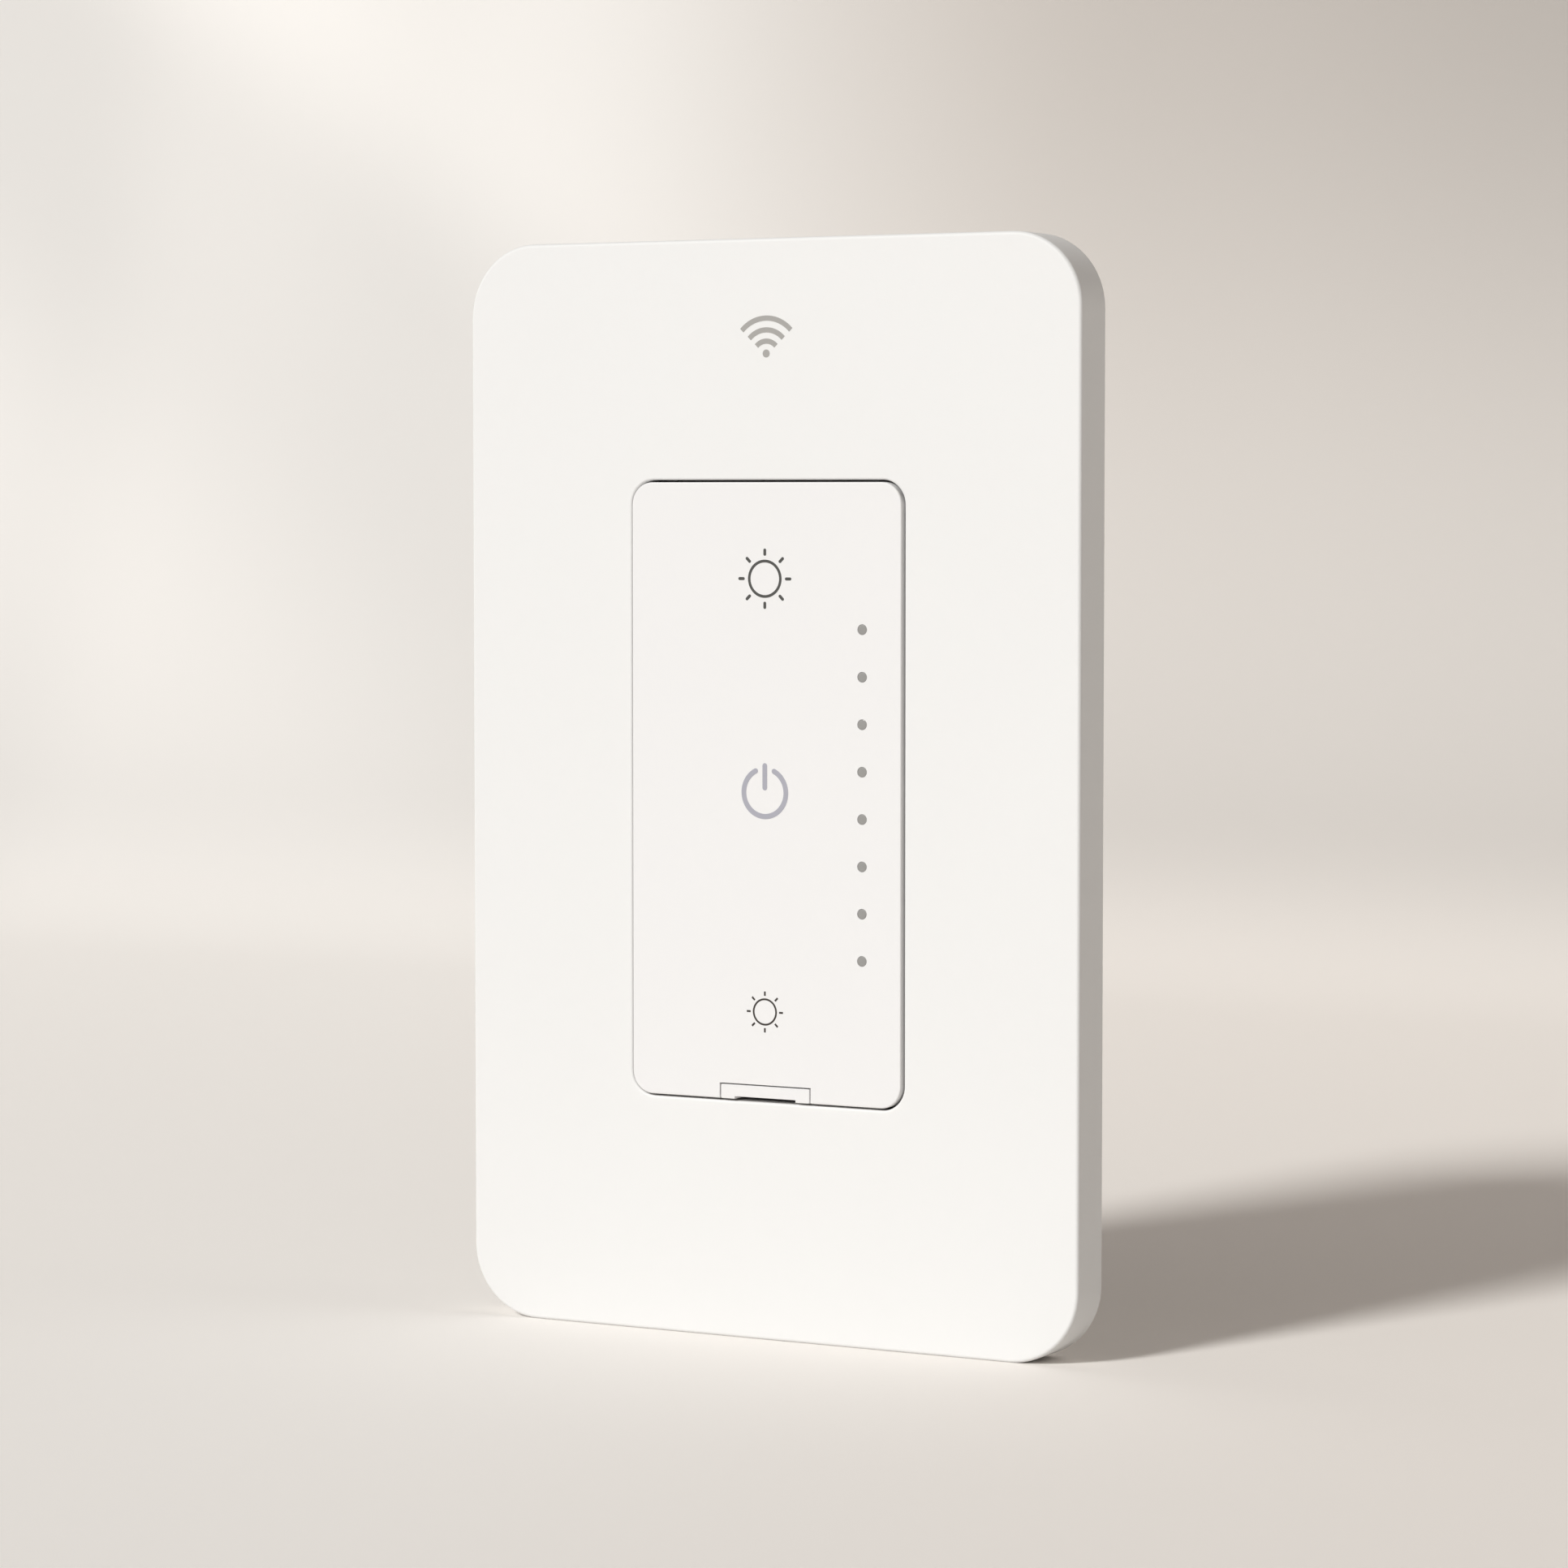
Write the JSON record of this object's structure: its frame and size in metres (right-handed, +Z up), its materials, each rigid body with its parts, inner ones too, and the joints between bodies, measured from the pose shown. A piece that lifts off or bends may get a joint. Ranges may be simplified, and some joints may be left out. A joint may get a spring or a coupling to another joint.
{
  "type": "smart dimmer switch",
  "caption": "Single-gang dimmer switch with a clip-on wall plate, one rocking press panel, a row of level lights, a pull-out air-break tab and a strap that screws to a wall box.",
  "frame": {"origin": "centre of the box-screw pattern, on the plane of the wall, which is the back face of the strap and of the wall plate's rim", "axes": "+Y into the wall along the box screws, +Z up along the plate's height, +X to the viewer's right; the panel faces -Y"},
  "size_m": [0.0744, 0.0323, 0.119],
  "materials": {
    "plate_white": "fine matt, white",
    "inner_white": "satin, white",
    "plated_steel": "zinc plated",
    "strap_aluminium": "brushed",
    "fibre": "pressed fibre",
    "green_steel": "green plated",
    "baffle_white": "satin, opaque white",
    "spring_steel": "bare spring steel",
    "panel_white": "fine matt, white",
    "light_window": "smoked clear",
    "silicone": "soft, matt",
    "board_green": "solder mask, green",
    "led_white": "clear over yellow",
    "chip_black": "moulded, black",
    "shield_tin": "tinned sheet",
    "pad_grey": "soft grey",
    "contact_bronze": "rolled bronze",
    "winding_copper": "enamelled wire",
    "film_yellow": "moulded box",
    "sleeve_dark": "shrunk sleeve",
    "fuse_brown": "coated",
    "varistor_blue": "dipped",
    "terminal_brass": "bright brass",
    "housing_dark": "fine moulded, dark grey"
  },
  "bodies": {
    "root": {"wall_plate": "plate_white", "sub_plate": "inner_white", "plate_screws": "plated_steel", "yoke": "strap_aluminium", "box_screws": "plated_steel", "screw_retainers": "fibre", "ground_screw": "green_steel", "housing_screws": "plated_steel", "front_frame": "inner_white", "light_baffle": "baffle_white", "return_springs": "spring_steel", "keypad_mat": "silicone", "control_board": "board_green", "board_leds": "led_white", "processor_chip": "chip_black", "radio_board": "board_green", "radio_shield": "shield_tin", "board_connector": "chip_black", "power_board": "board_green", "heat_pads": "pad_grey", "power_transistors": "chip_black", "transistor_clip": "spring_steel", "contact_leaf": "contact_bronze", "fixed_contact": "contact_bronze", "choke": "winding_copper", "film_capacitor": "film_yellow", "electrolytic_capacitor": "sleeve_dark", "supply_transformer": "chip_black", "fuse": "fuse_brown", "varistor": "varistor_blue", "terminal_blocks": "terminal_brass", "terminal_screws": "terminal_brass", "rear_housing": "housing_dark"},
    "carrier": {"panel_carrier": "inner_white"},
    "panel": {"front_panel": "panel_white", "light_guide": "light_window"},
    "tab": {"air_break_tab": "panel_white"}
  },
  "joints": [
    {"name": "panel_press", "type": "slide", "parent": "root", "child": "carrier", "axis": [0, 1, 0], "range_m": [0, 0.0004], "stiffness_N_per_m": 1500, "deforming": ["return_springs", "keypad_mat"]},
    {"name": "panel_rock", "type": "hinge", "parent": "carrier", "child": "panel", "pos_m": [0, -0.0036, 0], "axis": [1, 0, 0], "range_deg": [-0.6, 0.6], "stiffness_Nm_per_rad": 2, "deforming": ["keypad_mat"]},
    {"name": "tab_pull", "type": "slide", "parent": "root", "child": "tab", "axis": [0, -1, 0], "range_m": [0, 0.003], "deforming": ["contact_leaf"]}
  ]
}
